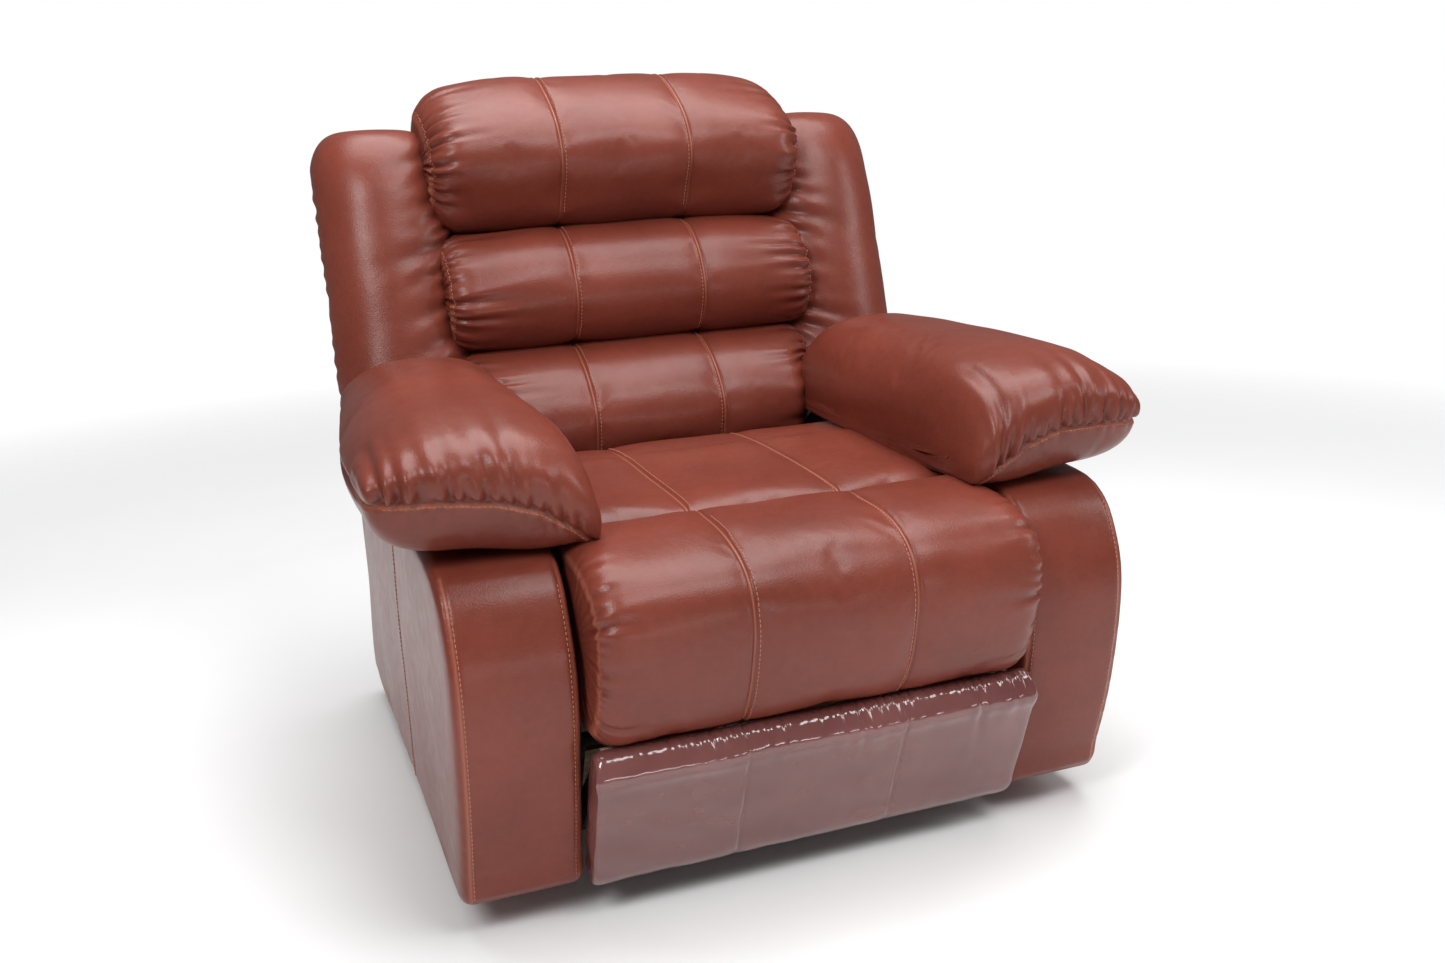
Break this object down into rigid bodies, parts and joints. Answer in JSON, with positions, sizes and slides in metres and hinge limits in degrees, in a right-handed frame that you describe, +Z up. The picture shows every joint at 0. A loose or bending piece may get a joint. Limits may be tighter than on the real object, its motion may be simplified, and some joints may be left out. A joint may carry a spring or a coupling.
{
  "type": "recliner armchair",
  "caption": "Padded leather-look recliner armchair with a swing-out footrest, a reclining winged back on a sliding seat, and a pull release in the arm.",
  "frame": {"origin": "on the floor under the middle of the chair's bounding box", "axes": "+Z up, -Y the way the sitter faces, +X to the sitter's left"},
  "size_m": [1.0148, 0.9758, 1.0175],
  "materials": {
    "leather": "satin",
    "film": "gloss",
    "wood": "raw",
    "black_steel": "satin",
    "bright_steel": "satin",
    "black_plastic": "matte",
    "nylon": "matte",
    "webbing": "woven"
  },
  "bodies": {
    "base": {"arm_cover_left": "leather", "arm_cover_right": "leather", "arm_frame_left": "wood", "arm_frame_right": "wood", "arm_pad_left": "leather", "arm_pad_right": "leather", "feet": "black_plastic", "front_rail": "wood", "rear_rail": "wood", "base_plate_left": "black_steel", "base_plate_right": "black_steel", "track_rails": "black_steel", "base_bolts": "bright_steel", "handle_bezel": "black_plastic", "handle_pin": "bright_steel", "release_cable": "black_plastic", "trip_pin": "bright_steel"},
    "handle": {"pull_handle": "black_plastic"},
    "trip": {"trip_lever": "black_steel"},
    "seat": {"seat_plate_left": "black_steel", "seat_plate_right": "black_steel", "slide_blocks": "nylon", "seat_rail_left": "wood", "seat_rail_right": "wood", "seat_rail_front": "wood", "seat_rail_rear": "wood", "seat_springs": "bright_steel", "seat_cushion": "leather", "knee_roll": "leather", "recline_pins": "bright_steel", "seat_pivot_pins": "bright_steel"},
    "back": {"back_post_left": "wood", "back_post_right": "wood", "back_rail_low": "wood", "back_rail_middle": "wood", "back_rail_top": "wood", "back_brackets": "black_steel", "back_webbing": "webbing", "lumbar_pillow": "leather", "middle_pillow": "leather", "headrest_pillow": "leather", "wing_left": "leather", "wing_right": "leather", "back_cover": "leather"},
    "front_links": {"front_link_left": "black_steel", "front_link_right": "black_steel", "torque_tube": "black_steel", "kick_stud": "bright_steel"},
    "rear_links": {"rear_link_left": "black_steel", "rear_link_right": "black_steel"},
    "couplers": {"coupler_link_left": "black_steel", "coupler_link_right": "black_steel", "coupler_pins": "bright_steel", "board_pins": "bright_steel"},
    "footrest": {"footrest_board": "wood", "footrest_cushion": "leather", "protective_film": "film", "footrest_brackets": "black_steel"}
  },
  "joints": [
    {"name": "handle_pull", "type": "hinge", "parent": "base", "child": "handle", "pos_m": [0.44, -0.02001, 0.35], "axis": [0, 0, 1], "range_deg": [0, 35], "stiffness_Nm_per_rad": 0.4, "springref_deg": -5.73},
    {"name": "trip_release", "type": "hinge", "parent": "base", "child": "trip", "pos_m": [0.288, -0.22601, 0.19], "axis": [-1, 0, 0], "range_deg": [0, 12]},
    {"name": "back_recline", "type": "hinge", "parent": "seat", "child": "back", "pos_m": [0, 0.25799, 0.36], "axis": [-1, 0, 0], "range_deg": [0, 35]},
    {"name": "seat_glide", "type": "slide", "parent": "base", "child": "seat", "axis": [0, -1, 0], "range_m": [0, 0.05]},
    {"name": "footrest_swing", "type": "hinge", "parent": "seat", "child": "front_links", "pos_m": [0, -0.31101, 0.207], "axis": [-1, 0, 0], "range_deg": [0, 118]},
    {"name": "rear_link_swing", "type": "hinge", "parent": "seat", "child": "rear_links", "pos_m": [0, -0.27301, 0.181], "axis": [-1, 0, 0], "range_deg": [0, 118]},
    {"name": "coupler_turn", "type": "hinge", "parent": "front_links", "child": "couplers", "pos_m": [0, -0.2455, 0.06652], "axis": [-1, 0, 0], "range_deg": [-118, 0]},
    {"name": "board_turn", "type": "hinge", "parent": "couplers", "child": "footrest", "pos_m": [0, -0.37601, 0.205], "axis": [-1, 0, 0], "range_deg": [0, 112]}
  ],
  "couplings": [
    {"joint": "trip_release", "follows": "handle_pull", "ratio": 0.34286},
    {"joint": "seat_glide", "follows": "back_recline", "m_per_rad": 0.08185},
    {"joint": "rear_link_swing", "follows": "footrest_swing", "ratio": 1},
    {"joint": "coupler_turn", "follows": "footrest_swing", "ratio": -1},
    {"joint": "board_turn", "follows": "footrest_swing", "ratio": 0.94915}
  ]
}
